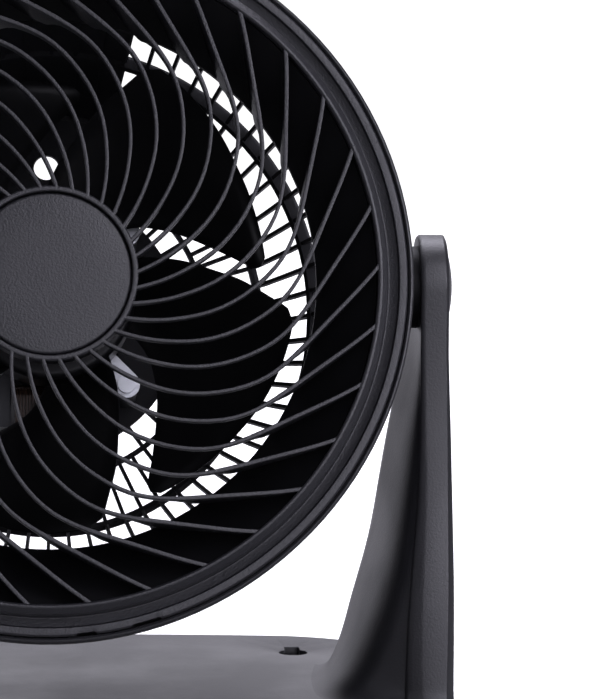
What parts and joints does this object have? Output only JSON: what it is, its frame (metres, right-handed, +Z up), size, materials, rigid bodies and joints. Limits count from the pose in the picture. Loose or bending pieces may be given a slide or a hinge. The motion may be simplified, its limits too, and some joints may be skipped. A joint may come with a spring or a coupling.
{
  "type": "air circulator fan",
  "caption": "Table-top air circulator: a round caged fan head with swirled front ribs that tilts between the two arms of a flat base, with a speed knob behind.",
  "frame": {"origin": "on the floor, under the middle of the base's footprint", "axes": "+Z up, the fan blows towards -Y, +X is right when it is seen from the front; the tilt axis is parallel to X"},
  "size_m": [0.2744, 0.1781, 0.2742],
  "materials": {
    "stand_plastic": "fine moulded texture, charcoal grey",
    "housing_plastic": "fine moulded texture, charcoal grey",
    "grille_plastic": "satin moulded plastic, charcoal grey",
    "rear_plastic": "fine moulded texture, charcoal grey",
    "black_plastic": "matte black moulded plastic",
    "propeller_plastic": "semi-gloss black moulded plastic",
    "knob_plastic": "satin black moulded plastic",
    "bobbin_plastic": "black moulded nylon",
    "rubber": "matte black rubber",
    "steel": "zinc-plated steel",
    "core_steel": "stacked silicon-steel sheets, dark",
    "brass": "turned brass",
    "bronze": "sintered bronze, oiled",
    "copper": "varnished copper winding under dark tape",
    "lead_sleeve": "black insulating sleeve"
  },
  "bodies": {
    "stand": {"stand_frame": "stand_plastic", "rubber_feet": "rubber", "pivot_cap_left": "stand_plastic", "pivot_cap_right": "stand_plastic", "pivot_washers": "black_plastic", "bolt_washers": "steel"},
    "head": {"rear_housing": "housing_plastic", "front_grille": "grille_plastic", "hub_cap": "grille_plastic", "duct_ring": "black_plastic", "rear_grille": "rear_plastic", "grille_screws": "steel", "switch_cover": "rear_plastic", "cover_screws": "steel", "rotary_switch": "black_plastic", "cord_bushing": "rubber", "pivot_bolts": "steel", "pivot_inserts": "brass", "motor_core": "core_steel", "coil_bobbin": "bobbin_plastic", "motor_coil": "copper", "bracket_front": "steel", "bracket_rear": "steel", "bearings": "bronze", "motor_bolts": "steel", "mount_screws": "steel", "motor_leads": "lead_sleeve"},
    "propeller": {"propeller": "propeller_plastic", "propeller_nut": "steel", "motor_shaft": "steel", "rotor": "core_steel"},
    "knob": {"speed_knob": "knob_plastic", "switch_spindle": "black_plastic"}
  },
  "joints": [
    {"name": "head_tilt", "type": "hinge", "parent": "stand", "child": "head", "pos_m": [0, -0.0185, 0.15], "axis": [-1, 0, 0], "range_deg": [-13.5, 76.5]},
    {"name": "propeller_spin", "type": "hinge", "parent": "head", "child": "propeller", "pos_m": [0, -0.0185, 0.15], "axis": [0, 0.9724, -0.2334], "continuous": true},
    {"name": "knob_turn", "type": "hinge", "parent": "head", "child": "knob", "pos_m": [0, -0.0185, 0.15], "axis": [0, 0.9724, -0.2334], "range_deg": [0, 135]}
  ]
}
